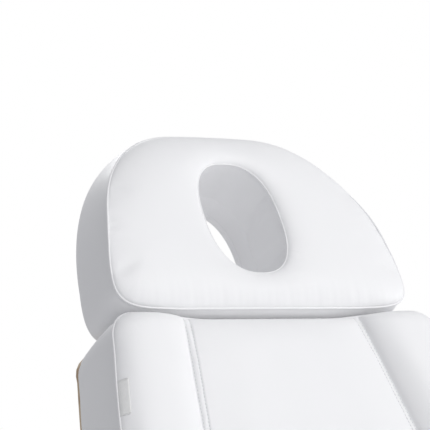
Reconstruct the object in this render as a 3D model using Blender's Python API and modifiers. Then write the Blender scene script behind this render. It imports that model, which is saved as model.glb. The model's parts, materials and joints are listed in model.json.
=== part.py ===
"""Electric facial treatment bed: head, back, seat and leg panels on a parallelogram lift.

Metres, +Z up, +Y towards the head, +X to the bed's left-hand side rail.
Run with: blender --background --python part.py
"""
import math

import bmesh
import bpy
from mathutils import Matrix, Vector

# ---------------------------------------------------------------- driving dimensions
GAP = 0.0003                # clearance between pieces that touch
PIN_PLAY = 0.0004           # radial clearance of a pin in its bore

LIFT_ANGLE = math.radians(35.0)     # lift arms above the floor plane, stored pose
BACK_TILT = math.radians(58.5)      # back panel above the seat plane
LEG_DROP = math.radians(35.0)       # leg panel below the seat plane

SEAT_Z = 0.475              # underside of the seat board above the floor
BOARD = 0.015               # plywood thickness
CUSHION_TOP = 0.125         # cushion top above a board's underside
EDGE_ROUND = 0.018          # rounding along the upper edge of a cushion
HALF_WIDTH = 0.31           # half width of seat and leg panels

SEAT_FRONT, SEAT_BACK = -0.43, -0.010
BACK_AXIS = (-0.002, 0.105)         # y, z of the back hinge above the seat board's underside
LEG_AXIS = (-0.438, -0.015)         # y, z of the leg hinge

# Back panel: half widths along its length, read from the hinge to the top edge.
BACK_START, BACK_END = 0.008, 0.622
BACK_SIDE = [(0.008, 0.310), (0.20, 0.318), (0.33, 0.325), (0.42, 0.318), (0.50, 0.302),
             (0.578, 0.2835), (0.622, 0.2725)]
BACK_CORNER = 0.042
BACK_TOP = 0.130                    # the back's side bolsters are a little thicker

HEAD_START = 0.632                  # lower edge of the headrest along the back panel
HEAD_LENGTH = 0.297
# Right half of the headrest's front seam: (x, distance above its lower edge), from the bottom to the top.
HEAD_EDGE = [(0.155, 0.0), (0.197, 0.0015), (0.220, 0.0045), (0.2365, 0.0105), (0.2465, 0.0205),
             (0.2508, 0.035), (0.2502, 0.057), (0.2472, 0.079), (0.2425, 0.101), (0.2365, 0.127),
             (0.2275, 0.157), (0.2155, 0.1865), (0.200, 0.2155), (0.183, 0.2385), (0.165, 0.2575),
             (0.147, 0.271), (0.129, 0.2815), (0.109, 0.289), (0.088, 0.2938), (0.064, 0.2958),
             (0.032, 0.2968), (0.0, 0.297)]
HEAD_TOP = 0.122
# The headrest's rear outline is wider and reaches further up than the front one.
REAR_HALF, REAR_LENGTH, REAR_POWER, REAR_DROP = 0.246, 0.350, 2.15, 0.003
HOLE_HALF_X, HOLE_HALF_Y, HOLE_POWER = 0.067, 0.095, 2.47
HOLE_CENTRE = HEAD_START + 0.148
COLLAR_WALL, COLLAR_REACH = 0.004, 0.018    # padded collar around the hole behind the head board
LEG_LENGTH = 0.455
LEG_START = 0.008

RAIL = 0.030                        # square tube of the upper frames
RAIL_X = 0.26                       # centre of the side rails of seat and leg frames
BACK_RAIL_X = 0.235
HINGE_PLATE = 0.005
SEAT_PLATE_X = 0.316                # inner face of the seat's hinge plates
BACK_PLATE_X = 0.3215               # inner face of the back's hinge plates
HINGE_EYE = 0.025
REAR_BAR_Y = -0.125                 # crossbar that carries the hinge plates

ARM_LENGTH = 0.50
ARM_X, ARM_THICK, ARM_DEEP = 0.170, 0.020, 0.040
LOWER_PIVOTS = [(0.020, 0.120), (0.285, 0.120)]
EAR_INNER, EAR_THICK = 0.183, 0.006

BASE_X, BASE_Z, BASE_TOP = 0.20, 0.022, 0.062
BASE_HALF_BAR = 0.020               # half width of the base's bars
BASE_CROSSBAR = (0.13, 0.16)        # y span of the middle crossbar
FOOT_X, FOOT_Y = 0.25, 0.48

BAR_X, BAR_Z, BAR_RADIUS = 0.085, -0.018, 0.008     # headrest bars under the back board
HEAD_AXIS = (0.650, -0.030)                         # headrest tilt axis, back panel plane
SLEEVE_HALF = 0.0135                                # half height of the sleeves the bars slide in
LOCK_KNOB_Y = 0.47                                  # clamp knob below the left sleeve
STRAP = 0.0045                                      # thickness of the headrest bracket's straps

# Actuators: tail pin and crank pin as (y, z) from the pivot each one turns, panel flat.
BACK_TAIL, BACK_CRANK = (-0.310, -0.265), (-0.003, -0.138)
LEG_TAIL, LEG_CRANK = (0.346, -0.046), (-0.009, -0.055)
LIFT_TAIL, LIFT_CRANK = (-0.484, -0.017), (-0.122, -0.020)
BACK_ACTUATOR_X, LEG_ACTUATOR_X, LIFT_ACTUATOR_X = -0.07, 0.07, 0.0
SHORTEST = {"back": 0.328, "leg": 0.301, "lift": 0.364}
# Slots in the crank ears: direction, half length between end centres, end radius, offset of the middle.
BACK_SLOT = (math.radians(90), 0.0123, 0.0097, (-0.0018, -0.0006))
LEG_SLOT = (math.radians(81), 0.0050, 0.0080, (-0.0012, -0.0031))
LIFT_SLOT = (math.radians(6), 0.0082, 0.0084, (-0.0006, 0.0009))
CRANK_EAR, CRANK_EAR_THICK = 0.0145, 0.006
TAIL_EAR, TAIL_EAR_THICK = 0.0105, 0.006
ACTUATOR_PIN = 0.006
MOTOR_OFFSET = 0.053                # the motor sits this far beside the actuator's axis
GEARBOX = (0.019, 0.060)            # gearbox along the axis, from the tail pin
TUBE_RADIUS, TUBE_RING_RADIUS, TUBE_RING = 0.016, 0.0185, 0.022
PUSH_ROD = 0.009
TUBE_SHORT, ROD_SHORT = 0.036, 0.085    # guide tube and rod, shorter than the closed actuator

# Corner radii of the flat panels, and how far each board stays inside its cushion.
PANEL_CORNER, LEG_CORNER, BOARD_CORNER = 0.012, 0.070, 0.010
BOARD_INSET, HEAD_BOARD_INSET = 0.0015, 0.008

# Pin radii and the rounds around them.
HINGE_PIN, LEG_SHAFT, ARM_PIN, BASE_SHAFT, HEAD_PIN = 0.006, 0.008, 0.008, 0.010, 0.005
LEG_EYE = 0.013
PLATE_FOOT = 0.0125                 # half width of plates and ears where they meet their rails
CAP_RADIUS, CAP_HEIGHT = 0.029, 0.011
HEAD_THICK = 0.004                  # heads and flanges of the lift pins
ARM_TUBE, ARM_SPREADER, SPREADER_Y = 0.0175, 0.012, -0.20

HANDSET_Y, HANDSET_TOP, HANDSET_LENGTH = -0.315, -0.022, 0.130
HANDSET_X = (0.3006, 0.3226)
HANDSET_HALF = 0.026
ROCKER_TOP, ROCKER_PITCH = 0.030, 0.032     # first rocker below the handset's top, and their spacing

# ---------------------------------------------------------------- scene and materials
for leftover in list(bpy.data.objects):
    bpy.data.objects.remove(leftover, do_unlink=True)

BED = bpy.data.collections.new("facial_treatment_bed")
bpy.context.scene.collection.children.link(BED)


def material(name, colour, roughness, metallic=0.0):
    """Principled material with a plain colour."""
    result = bpy.data.materials.new(name)
    result.use_nodes = True
    shader = result.node_tree.nodes["Principled BSDF"]
    shader.inputs["Base Color"].default_value = (*colour, 1.0)
    shader.inputs["Roughness"].default_value = roughness
    shader.inputs["Metallic"].default_value = metallic
    return result


VINYL = material("white_vinyl", (0.86, 0.87, 0.88), 0.42)
PLYWOOD = material("raw_plywood", (0.56, 0.42, 0.29), 0.70)
PAINTED = material("grey_painted_steel", (0.62, 0.63, 0.65), 0.40, 0.15)
STEEL = material("bright_steel", (0.66, 0.66, 0.68), 0.28, 1.0)
CASING = material("light_grey_casing", (0.58, 0.59, 0.61), 0.50)
DARK = material("dark_plastic", (0.06, 0.06, 0.065), 0.48)
RUBBER = material("black_rubber", (0.03, 0.03, 0.03), 0.80)


# ---------------------------------------------------------------- shape helpers
def from_bmesh(work, name="piece"):
    """Object that holds a finished bmesh."""
    mesh = bpy.data.meshes.new(name)
    bmesh.ops.recalc_face_normals(work, faces=work.faces)
    work.to_mesh(mesh)
    work.free()
    piece = bpy.data.objects.new(name, mesh)
    BED.objects.link(piece)
    return piece


def bar(x_span, y_span, z_span, edge=0.003, segments=1):
    """Box between three spans, with rounded edges."""
    spans = (x_span, y_span, z_span)
    size = Vector([high - low for low, high in spans])
    centre = Vector([(high + low) / 2 for low, high in spans])
    work = bmesh.new()
    bmesh.ops.create_cube(work, size=1.0,
                          matrix=Matrix.Translation(centre) @ Matrix.Diagonal(size).to_4x4())
    if edge:
        bmesh.ops.bevel(work, geom=work.edges[:], offset=edge, segments=segments, affect="EDGES",
                        profile=0.5)
    return from_bmesh(work)


def rod(start, end, radius, segments=16):
    """Round bar between two points."""
    start, end = Vector(start), Vector(end)
    run = end - start
    turn = Vector((0, 0, 1)).rotation_difference(run).to_matrix().to_4x4()
    work = bmesh.new()
    bmesh.ops.create_cone(work, cap_ends=True, segments=segments, radius1=radius, radius2=radius,
                          depth=run.length, matrix=Matrix.Translation((start + end) / 2) @ turn)
    return from_bmesh(work)


def turned(profile, start, direction, steps=24):
    """Turned piece: (radius, height) pairs from the top down the outer side, axis along direction."""
    mesh = bpy.data.meshes.new("profile")
    points = [(radius, 0.0, height) for radius, height in profile]
    mesh.from_pydata(points, [(i, i + 1) for i in range(len(points) - 1)], [])
    piece = bpy.data.objects.new("turned", mesh)
    BED.objects.link(piece)
    screw = piece.modifiers.new("turn", "SCREW")
    screw.steps = steps
    screw.render_steps = steps
    screw.use_merge_vertices = True
    screw.merge_threshold = 0.00001
    apply_modifiers(piece)
    turn = Vector((0, 0, 1)).rotation_difference(Vector(direction)).to_matrix().to_4x4()
    piece.data.transform(Matrix.Translation(start) @ turn)
    return piece


def apply_modifiers(piece):
    """Replace an object's mesh by its evaluated mesh."""
    graph = bpy.context.evaluated_depsgraph_get()
    graph.update()
    mesh = bpy.data.meshes.new_from_object(piece.evaluated_get(graph))
    piece.modifiers.clear()
    piece.data = mesh


def flat_shape(outline, holes, thickness):
    """Mesh object of a flat outline with holes, from z = 0 to its thickness."""
    curve = bpy.data.curves.new("outline", "CURVE")
    curve.dimensions = "2D"
    curve.fill_mode = "BOTH"
    curve.extrude = thickness / 2
    for loop in [outline, *holes]:
        spline = curve.splines.new("POLY")
        spline.points.add(len(loop) - 1)
        for point, (u, v) in zip(spline.points, loop):
            point.co = (u, v, 0, 1)
        spline.use_cyclic_u = True
    guide = bpy.data.objects.new("outline", curve)
    BED.objects.link(guide)
    graph = bpy.context.evaluated_depsgraph_get()
    mesh = bpy.data.meshes.new_from_object(guide.evaluated_get(graph))
    bpy.data.objects.remove(guide, do_unlink=True)
    work = bmesh.new()
    work.from_mesh(mesh)
    bmesh.ops.remove_doubles(work, verts=work.verts, dist=0.00001)
    bmesh.ops.translate(work, verts=work.verts, vec=(0, 0, thickness / 2))
    return from_bmesh(work)


def side_plate(outline, x_span, holes=()):
    """Flat plate in the YZ plane between two x values."""
    piece = flat_shape(outline, holes, x_span[1] - x_span[0])
    stand_up = Matrix(((0, 0, 1, x_span[0]), (1, 0, 0, 0), (0, 1, 0, 0), (0, 0, 0, 1)))
    piece.data.transform(stand_up)
    return piece


def arc(centre, radius, start, end, steps):
    """Points along an arc, angles in degrees."""
    angles = [math.radians(start + (end - start) * i / steps) for i in range(steps + 1)]
    return [(centre[0] + radius * math.cos(a), centre[1] + radius * math.sin(a)) for a in angles]


def circle(centre, radius, steps=16):
    return arc(centre, radius, 0, 360, steps)[:-1]


def strap(start, end, start_radius, end_radius, steps=7):
    """Outline of a flat link with a round at each end."""
    heading = math.degrees(math.atan2(end[1] - start[1], end[0] - start[0]))
    reach = math.dist(start, end)
    lean = math.degrees(math.asin((start_radius - end_radius) / reach))
    return (arc(start, start_radius, heading + 90 - lean, heading + 270 + lean, steps)
            + arc(end, end_radius, heading - 90 + lean, heading + 90 - lean, steps))


def slot_outline(crank, slot, steps=6):
    """Outline of a slot with round ends in a crank ear."""
    direction, half_length, radius, offset = slot
    centre = (crank[0] + offset[0], crank[1] + offset[1])
    step = (math.cos(direction) * half_length, math.sin(direction) * half_length)
    return strap((centre[0] - step[0], centre[1] - step[1]), (centre[0] + step[0], centre[1] + step[1]),
                 radius, radius, steps)


def fuse(pieces, cuts=()):
    """Weld pieces into the first one, then cut the rest away."""
    body = pieces[0]
    for operation, tools in (("UNION", pieces[1:]), ("DIFFERENCE", cuts)):
        for tool in tools:
            cut = body.modifiers.new(operation.lower(), "BOOLEAN")
            cut.operation = operation
            cut.solver = "EXACT"
            cut.object = tool
    apply_modifiers(body)
    for tool in [*pieces[1:], *cuts]:
        bpy.data.objects.remove(tool, do_unlink=True)
    return body


def empty(name, parent, location, tilt=0.0):
    """Axis marker: moving pieces hang from it."""
    marker = bpy.data.objects.new(name, None)
    marker.empty_display_size = 0.05
    marker.parent = parent
    marker.location = location
    marker.rotation_euler = (tilt, 0, 0)
    BED.objects.link(marker)
    return marker


def place(piece, name, skin, parent):
    """Name a finished piece, give it its material and hang it from its marker."""
    piece.name = name
    piece.data.name = name
    piece.data.materials.clear()
    piece.data.materials.append(skin)
    piece.data.shade_smooth()
    piece.data.set_sharp_from_angle(angle=math.radians(35))
    piece.parent = parent
    return piece


def swing(point, angle):
    """Turn a (y, z) point about the X axis."""
    c, s = math.cos(angle), math.sin(angle)
    return (c * point[0] - s * point[1], s * point[0] + c * point[1])


def add(a, b):
    return (a[0] + b[0], a[1] + b[1])


def smooth_through(points, per_span=4):
    """Catmull-Rom curve through a few points."""
    padded = [points[0], *points, points[-1]]
    result = []
    for i in range(1, len(padded) - 2):
        p0, p1, p2, p3 = (Vector(padded[i + k]) for k in (-1, 0, 1, 2))
        for step in range(per_span):
            t = step / per_span
            result.append(tuple(0.5 * ((2 * p1) + (p2 - p0) * t + (2 * p0 - 5 * p1 + 4 * p2 - p3) * t * t
                                       + (3 * p1 - 3 * p2 + p3 - p0) * t ** 3)))
    return [*result, points[-1]]


# ---------------------------------------------------------------- panel outlines
def back_outline(inset=0.0):
    """Back panel seen from above, symmetric about x = 0."""
    side = [(half - inset, y) for y, half in smooth_through(BACK_SIDE[:-1])]
    side = [(x, max(y, BACK_START + inset)) for x, y in side]
    top = BACK_END - inset
    corner = arc((side[-1][0] - BACK_CORNER, top - BACK_CORNER), BACK_CORNER, 12, 90, 5)
    right = [point for point in side if point[1] < top - BACK_CORNER] + corner
    return right + [(-x, y) for x, y in reversed(right)]


def head_outline():
    """Headrest's front seam: a flat lower edge, rounded corners and a domed top."""
    right = [(x, HEAD_START + y) for x, y in HEAD_EDGE]
    return right + [(-x, y) for x, y in reversed(right[:-1])]


def head_rear(point, inset=0.0):
    """Where a point of the headrest's front outline ends up on its rear one, which is taller and narrower."""
    x, y = point
    t = (y - HEAD_START) / HEAD_LENGTH
    low = abs(x) * (REAR_HALF - inset) / max(px for px, _py in HEAD_EDGE)
    high = (REAR_HALF - inset) * max(1 - t ** REAR_POWER, 0) ** (1 / REAR_POWER)
    share = min(max((t - 0.08) / 0.16, 0), 1)
    half = low + (high - low) * share
    length = REAR_LENGTH - 2 * inset
    return (math.copysign(half, x), HEAD_START - REAR_DROP + inset + t * length)


def hole_outline(grow=0.0, steps=28):
    """Breathing hole: a rounded oval."""
    points = []
    for i in range(steps):
        t = 2 * math.pi * i / steps
        c, s = math.cos(t), math.sin(t)
        x = math.copysign(abs(c) ** (2 / HOLE_POWER), c) * (HOLE_HALF_X + grow)
        y = math.copysign(abs(s) ** (2 / HOLE_POWER), s) * (HOLE_HALF_Y + grow)
        points.append((x, HOLE_CENTRE + y))
    return points


def box_outline(half, y_start, y_end, near_round, far_round, inset=0.0):
    """Rectangle with one radius at its near corners and another at its far ones."""
    half -= inset
    near, far = min(y_start, y_end) + inset, max(y_start, y_end) - inset
    return (arc((half - near_round, near + near_round), near_round, -90, 0, 6)
            + arc((half - far_round, far - far_round), far_round, 0, 90, 6)
            + arc((far_round - half, far - far_round), far_round, 90, 180, 6)
            + arc((near_round - half, near + near_round), near_round, 180, 270, 6))


def board(outline, z, holes=()):
    """Plywood sheet with its underside at z."""
    piece = flat_shape(outline, holes, BOARD)
    piece.data.transform(Matrix.Translation((0, 0, z)))
    return piece


def cushion(outline, z, top, at_foot=lambda point: point):
    """Padded block above its board: rounded upper edge, its foot optionally another outline."""
    foot = z + BOARD + GAP
    piece = flat_shape(outline, (), z + top - foot)
    work = bmesh.new()
    work.from_mesh(piece.data)
    bpy.data.objects.remove(piece, do_unlink=True)
    height = z + top - foot
    for vertex in work.verts:
        if vertex.co.z < height / 2:
            vertex.co.x, vertex.co.y = at_foot((vertex.co.x, vertex.co.y))
    rim = [edge for edge in work.edges
           if min(v.co.z for v in edge.verts) > height - 1e-5
           and any(abs(face.normal.z) < 0.5 for face in edge.link_faces)]
    bmesh.ops.bevel(work, geom=rim, offset=EDGE_ROUND, segments=3, affect="EDGES", profile=0.5)
    bmesh.ops.translate(work, verts=work.verts, vec=(0, 0, foot))
    return from_bmesh(work)


# ---------------------------------------------------------------- axis markers, stored pose
root = empty("bed_root", None, (0, 0, 0))
seat = empty("seat_axis", root, (0, 0, SEAT_Z))
back = empty("back_axis", seat, (0, *BACK_AXIS), BACK_TILT)
leg = empty("leg_axis", seat, (0, *LEG_AXIS), LEG_DROP)
front_arms = empty("front_arm_axis", root, (0, *LOWER_PIVOTS[0]), -LIFT_ANGLE)
rear_arms = empty("rear_arm_axis", root, (0, *LOWER_PIVOTS[1]), -LIFT_ANGLE)

BACK_BOARD_Z = -BACK_AXIS[1]        # board undersides seen from the hinge axes
LEG_BOARD_Z = -LEG_AXIS[1]
ARM_REACH = (-ARM_LENGTH * math.cos(LIFT_ANGLE), ARM_LENGTH * math.sin(LIFT_ANGLE))
UPPER_PIVOTS = [add(add(pivot, ARM_REACH), (0, -SEAT_Z)) for pivot in LOWER_PIVOTS]


# ---------------------------------------------------------------- upholstered panels
def build_panels():
    seat_shape = box_outline(HALF_WIDTH, SEAT_FRONT, SEAT_BACK, PANEL_CORNER, PANEL_CORNER)
    place(cushion(seat_shape, 0, CUSHION_TOP), "seat_cushion", VINYL, seat)
    seat_shape = box_outline(HALF_WIDTH, SEAT_FRONT, SEAT_BACK, BOARD_CORNER, BOARD_CORNER, BOARD_INSET)
    place(board(seat_shape, 0), "seat_board", PLYWOOD, seat)
    place(cushion(back_outline(), BACK_BOARD_Z, BACK_TOP), "back_cushion", VINYL, back)
    place(board(back_outline(BOARD_INSET), BACK_BOARD_Z), "back_board", PLYWOOD, back)
    leg_end = -LEG_START - LEG_LENGTH
    leg_shape = box_outline(HALF_WIDTH, -LEG_START, leg_end, LEG_CORNER, PANEL_CORNER)
    place(cushion(leg_shape, LEG_BOARD_Z, CUSHION_TOP), "leg_cushion", VINYL, leg)
    leg_shape = box_outline(HALF_WIDTH, -LEG_START, leg_end, LEG_CORNER - 0.001, BOARD_CORNER, BOARD_INSET)
    place(board(leg_shape, LEG_BOARD_Z), "leg_board", PLYWOOD, leg)
    head = cushion(head_outline(), BACK_BOARD_Z, HEAD_TOP, head_rear)
    drill = flat_shape(hole_outline(), (), 0.3)
    drill.data.transform(Matrix.Translation((0, 0, BACK_BOARD_Z - 0.05)))
    place(fuse([head], [drill]), "head_cushion", VINYL, back)
    head_shape = [head_rear(point, HEAD_BOARD_INSET) for point in head_outline()]
    place(board(head_shape, BACK_BOARD_Z, [hole_outline()]), "head_board", PLYWOOD, back)
    collar = flat_shape(hole_outline(COLLAR_WALL), [hole_outline()], COLLAR_REACH - GAP)
    collar.data.transform(Matrix.Translation((0, 0, BACK_BOARD_Z - COLLAR_REACH)))
    place(collar, "head_hole_collar", VINYL, back)


# ---------------------------------------------------------------- frames
def under(z):
    """Height span of a rail right below a board whose underside is at z."""
    return (z - RAIL, z - GAP)


def between(z, inset=0.001):
    """Height span of a crossbar: a little thinner than the rails it is welded to."""
    return (z - RAIL + inset, z - GAP - inset)


def span(side, low, high):
    """x span on one side of the bed."""
    return tuple(sorted((side * low, side * high)))


def build_seat_frame():
    rail_z = under(0)
    pieces = [bar((-RAIL_X, RAIL_X), (y - 0.015, y + 0.015), between(0)) for y in (REAR_BAR_Y, -0.390)]
    for side in (1, -1):
        pieces.append(bar(span(side, RAIL_X - 0.015, RAIL_X + 0.015), (-0.422, -0.040), rail_z))
        # Outrigger from the side rail to the hinge plate, then the plate itself.
        pieces.append(bar(span(side, RAIL_X, SEAT_PLATE_X + 0.002),
                          (REAR_BAR_Y - 0.012, REAR_BAR_Y + 0.012), between(0, 0.0035)))
        plate = strap((REAR_BAR_Y, -0.016), BACK_AXIS, 0.0145, HINGE_EYE)
        eye = circle(BACK_AXIS, HINGE_PIN + PIN_PLAY)
        pieces.append(side_plate(plate, span(side, SEAT_PLATE_X, SEAT_PLATE_X + HINGE_PLATE), [eye]))
        lug = strap((-0.405, LEG_AXIS[1]), LEG_AXIS, PLATE_FOOT, LEG_EYE)
        pieces.append(side_plate(lug, span(side, 0.246, 0.254), [circle(LEG_AXIS, LEG_SHAFT + PIN_PLAY)]))
        for pivot in UPPER_PIVOTS:
            anchor = (min(max(pivot[0], -0.39), REAR_BAR_Y), -0.020)
            ear = strap(anchor, pivot, 0.0135, 0.020)
            bore = circle(pivot, ARM_PIN + PIN_PLAY)
            pieces.append(side_plate(ear, span(side, EAR_INNER, EAR_INNER + EAR_THICK), [bore]))
    back_tail, leg_tail = add(BACK_AXIS, BACK_TAIL), add(LEG_AXIS, LEG_TAIL)
    # The leg actuator's tail hangs behind the rear crossbar, so its plate is an elbow.
    elbow = [(REAR_BAR_Y, -0.026), (leg_tail[0] - 0.014, -0.026), *arc(leg_tail, 0.014, 180, 360, 8),
             (leg_tail[0] + 0.014, -0.008), (REAR_BAR_Y, -0.008)]
    for x, tail, hanger in ((BACK_ACTUATOR_X, back_tail, strap((-0.390, -0.018), back_tail, 0.0115, 0.014)),
                            (LEG_ACTUATOR_X, leg_tail, elbow)):
        for side in (1, -1):
            low, high = span(side, TAIL_EAR, TAIL_EAR + TAIL_EAR_THICK)
            bore = circle(tail, ACTUATOR_PIN + PIN_PLAY)
            pieces.append(side_plate(hanger, (x + low, x + high), [bore]))
    place(fuse(pieces), "seat_frame", PAINTED, seat)


def build_back_frame():
    z = BACK_BOARD_Z
    pieces = [bar((-BACK_RAIL_X, BACK_RAIL_X), (0.365, 0.395), between(z)),
              bar((-BACK_RAIL_X, BACK_RAIL_X), (0.545, 0.575), between(z)),
              bar((-BACK_PLATE_X - 0.002, BACK_PLATE_X + 0.002), (0.052, 0.080), between(z, 0.0015))]
    for side in (1, -1):
        pieces.append(bar(span(side, BACK_RAIL_X - 0.015, BACK_RAIL_X + 0.015), (0.040, 0.590), under(z)))
        plate = strap((0.066, z - 0.015), (0, 0), 0.0130, HINGE_EYE)
        eye = circle((0, 0), HINGE_PIN + PIN_PLAY)
        pieces.append(side_plate(plate, span(side, BACK_PLATE_X, BACK_PLATE_X + HINGE_PLATE), [eye]))
        sleeve_x = span(side, BAR_X - 0.013, BAR_X + 0.013)
        sleeve_z = (z + BAR_Z - SLEEVE_HALF, z + BAR_Z + SLEEVE_HALF)
        pieces.append(bar(sleeve_x, (0.350, 0.600), sleeve_z, 0.002))
        low, high = span(side, CRANK_EAR, CRANK_EAR + CRANK_EAR_THICK)
        ear = strap((0.066, z - 0.016), BACK_CRANK, PLATE_FOOT, 0.030)
        pieces.append(side_plate(ear, (BACK_ACTUATOR_X + low, BACK_ACTUATOR_X + high),
                                 [slot_outline(BACK_CRANK, BACK_SLOT)]))
    cuts = [rod((side * BAR_X, 0.3, z + BAR_Z), (side * BAR_X, 0.7, z + BAR_Z), BAR_RADIUS + PIN_PLAY, 24)
            for side in (1, -1)]
    lock = (BAR_X, LOCK_KNOB_Y, z + BAR_Z)
    cuts.append(rod(lock, (BAR_X, LOCK_KNOB_Y, z - 0.06), 0.004 + PIN_PLAY, 16))
    place(fuse(pieces, cuts), "back_frame", PAINTED, back)


def build_leg_frame():
    z = LEG_BOARD_Z
    pieces = [bar((-RAIL_X, RAIL_X), (-0.065, -0.035), between(z)),
              bar((-RAIL_X, RAIL_X), (-0.400, -0.370), between(z))]
    for side in (1, -1):
        pieces.append(bar(span(side, RAIL_X - 0.015, RAIL_X + 0.015), (-0.415, -0.018), under(z)))
        lug = strap((-0.035, 0), (0, 0), PLATE_FOOT, LEG_EYE)
        bore = circle((0, 0), LEG_SHAFT + PIN_PLAY)
        pieces.append(side_plate(lug, span(side, 0.2546, 0.2626), [bore]))
        low, high = span(side, CRANK_EAR, CRANK_EAR + CRANK_EAR_THICK)
        ear = strap((-0.050, z - 0.016), LEG_CRANK, PLATE_FOOT, 0.022)
        pieces.append(side_plate(ear, (LEG_ACTUATOR_X + low, LEG_ACTUATOR_X + high),
                                 [slot_outline(LEG_CRANK, LEG_SLOT)]))
    place(fuse(pieces), "leg_frame", PAINTED, leg)


def build_arms():
    """Two pairs of lift arms, each pair welded to a tube around its lower shaft."""
    pairs = (("front_lift_arms", front_arms, True), ("rear_lift_arms", rear_arms, False))
    for name, marker, has_crank in pairs:
        pieces = [rod((-ARM_X, 0, 0), (ARM_X, 0, 0), ARM_TUBE, 20),
                  rod((-ARM_X, SPREADER_Y, 0), (ARM_X, SPREADER_Y, 0), ARM_SPREADER)]
        for side in (1, -1):
            link = strap((0, 0), (-ARM_LENGTH, 0), ARM_DEEP / 2, ARM_DEEP / 2, 8)
            bore = circle((-ARM_LENGTH, 0), ARM_PIN + PIN_PLAY)
            link_x = span(side, ARM_X - ARM_THICK / 2, ARM_X + ARM_THICK / 2)
            pieces.append(side_plate(link, link_x, [bore]))
            if has_crank:
                low, high = span(side, CRANK_EAR, CRANK_EAR + CRANK_EAR_THICK)
                ear = strap((0, 0), LIFT_CRANK, 0.024, 0.024, 7)
                pieces.append(side_plate(ear, (low, high), [slot_outline(LIFT_CRANK, LIFT_SLOT)]))
        cuts = [rod((-0.3, 0, 0), (0.3, 0, 0), BASE_SHAFT + PIN_PLAY)]
        place(fuse(pieces, cuts), name, PAINTED, marker)


def build_base():
    height = (BASE_Z, BASE_TOP)
    half = BASE_HALF_BAR
    pieces = [bar((-FOOT_X - half, FOOT_X + half), (y - half, y + half), height, 0.004)
              for y in (-FOOT_Y, FOOT_Y)]
    pieces.append(bar((-BASE_X, BASE_X), BASE_CROSSBAR, (BASE_Z + 0.002, BASE_TOP - 0.002)))
    for side in (1, -1):
        pieces.append(bar(span(side, BASE_X - half, BASE_X + half), (-FOOT_Y, FOOT_Y),
                          (BASE_Z + 0.001, BASE_TOP - 0.001), 0.004))
        for pivot in LOWER_PIVOTS:
            ear = [(pivot[0] + 0.035, BASE_TOP - 0.01), *arc(pivot, 0.022, 0, 180, 10),
                   (pivot[0] - 0.035, BASE_TOP - 0.01)]
            bore = circle(pivot, BASE_SHAFT + PIN_PLAY)
            pieces.append(side_plate(ear, span(side, EAR_INNER, EAR_INNER + EAR_THICK), [bore]))
        tail = add(LOWER_PIVOTS[0], LIFT_TAIL)
        lug = [(tail[0] + 0.014, BASE_TOP - 0.01), *arc(tail, 0.014, 0, 180, 8),
               (tail[0] - 0.014, BASE_TOP - 0.01)]
        bore = circle(tail, ACTUATOR_PIN + PIN_PLAY)
        pieces.append(side_plate(lug, span(side, TAIL_EAR, TAIL_EAR + TAIL_EAR_THICK), [bore]))
    feet = [(x, y) for x in (-FOOT_X, FOOT_X) for y in (-FOOT_Y, FOOT_Y)]
    cuts = [rod((x, y, 0.0), (x, y, BASE_Z + 0.020), 0.005 + PIN_PLAY) for x, y in feet]
    place(fuse(pieces, cuts), "base_frame", PAINTED, root)
    profile = [(0, 0.036), (0.005, 0.036), (0.005, BASE_Z - GAP), (0.021, BASE_Z - GAP), (0.026, 0.004),
               (0.024, 0), (0, 0)]
    for (x, y), name in zip(feet, ("foot_end_right", "head_end_right", "foot_end_left", "head_end_left")):
        place(turned(profile, (x, y, 0), (0, 0, 1)), "rubber_foot_" + name, RUBBER, root)


# ---------------------------------------------------------------- pins, shafts and covers
def headed_pin(x_start, x_end, radius, head_radius, head, pivot):
    """Pin along X with a head at x_start; it points towards x_end."""
    length = abs(x_end - x_start)
    chamfer = 0.001
    profile = [(0, length), (radius - chamfer, length), (radius, length - chamfer), (radius, head),
               (head_radius, head), (head_radius, chamfer), (head_radius - chamfer, 0), (0, 0)]
    return turned(profile, (x_start, *pivot), (math.copysign(1, x_end - x_start), 0, 0), 16)


def flanged_shaft(half_length, radius, flange_radius, flange, pivot, x=0.0):
    """Shaft along X with a retaining flange at both ends."""
    profile = [(0, half_length), (flange_radius - 0.001, half_length), (flange_radius, half_length - 0.001),
               (flange_radius, half_length - flange), (radius, half_length - flange),
               (radius, flange - half_length), (flange_radius, flange - half_length),
               (flange_radius, 0.001 - half_length), (flange_radius - 0.001, -half_length),
               (0, -half_length)]
    return turned(profile, (x, *pivot), (1, 0, 0), 16)


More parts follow.
